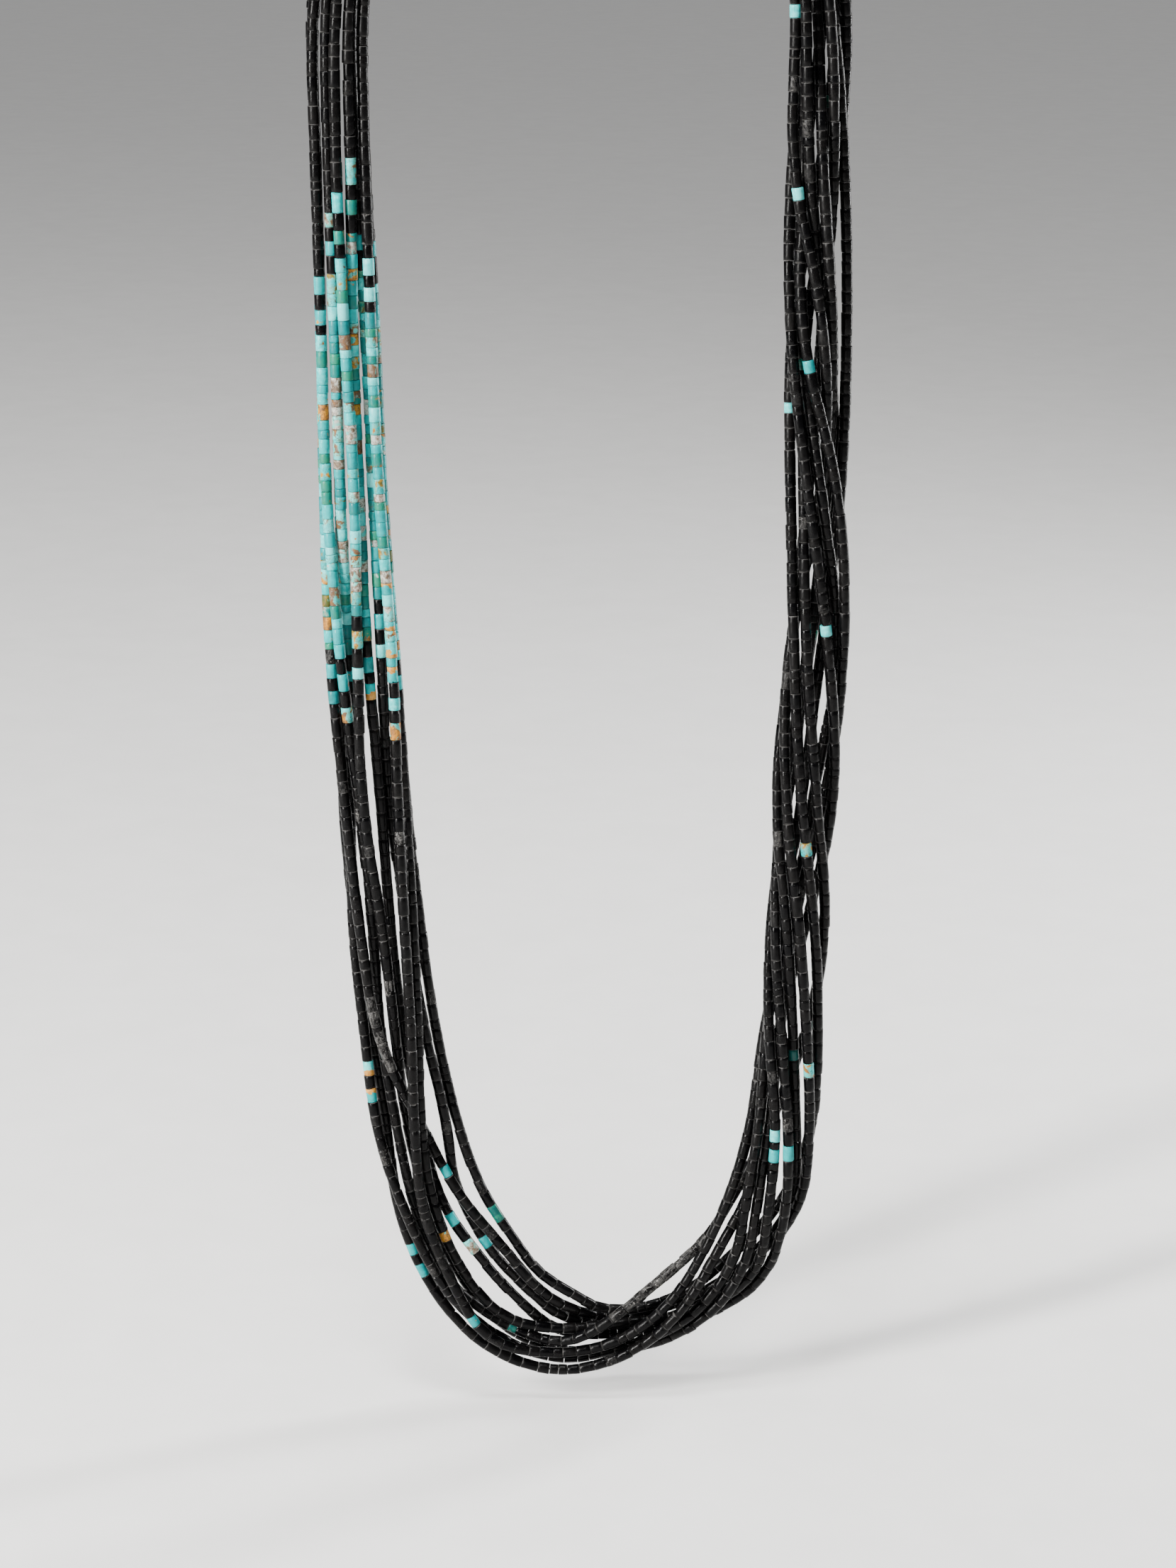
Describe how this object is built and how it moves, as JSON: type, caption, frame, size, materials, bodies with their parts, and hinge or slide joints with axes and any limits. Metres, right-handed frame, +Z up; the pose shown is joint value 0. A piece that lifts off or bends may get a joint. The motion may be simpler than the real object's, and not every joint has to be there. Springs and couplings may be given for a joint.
{
  "type": "necklace",
  "caption": "Loose many-strand necklace of fine black tube beads, with a long turquoise stretch on one side and a plain barrel clasp with cone ends.",
  "frame": {"origin": "under the middle of the clasp, where the necklace lies on the back of the neck", "axes": "+X to the right seen from the front, +Y away from the front, +Z up"},
  "size_m": [0.1143, 0.0134, 0.3577],
  "materials": {
    "jet": "satin",
    "turquoise": "satin",
    "clasp": "polished silver"
  },
  "bodies": {
    "root": {"clasp": "clasp", "strand_01_jet": "jet", "strand_01_turquoise": "turquoise", "strand_02_jet": "jet", "strand_02_turquoise": "turquoise", "strand_03_jet": "jet", "strand_03_turquoise": "turquoise", "strand_04_jet": "jet", "strand_04_turquoise": "turquoise", "strand_05_jet": "jet", "strand_05_turquoise": "turquoise", "strand_06_jet": "jet", "strand_06_turquoise": "turquoise", "strand_07_jet": "jet", "strand_07_turquoise": "turquoise", "strand_08_jet": "jet", "strand_08_turquoise": "turquoise", "strand_09_jet": "jet", "strand_09_turquoise": "turquoise", "strand_10_jet": "jet", "strand_10_turquoise": "turquoise"}
  },
  "joints": []
}
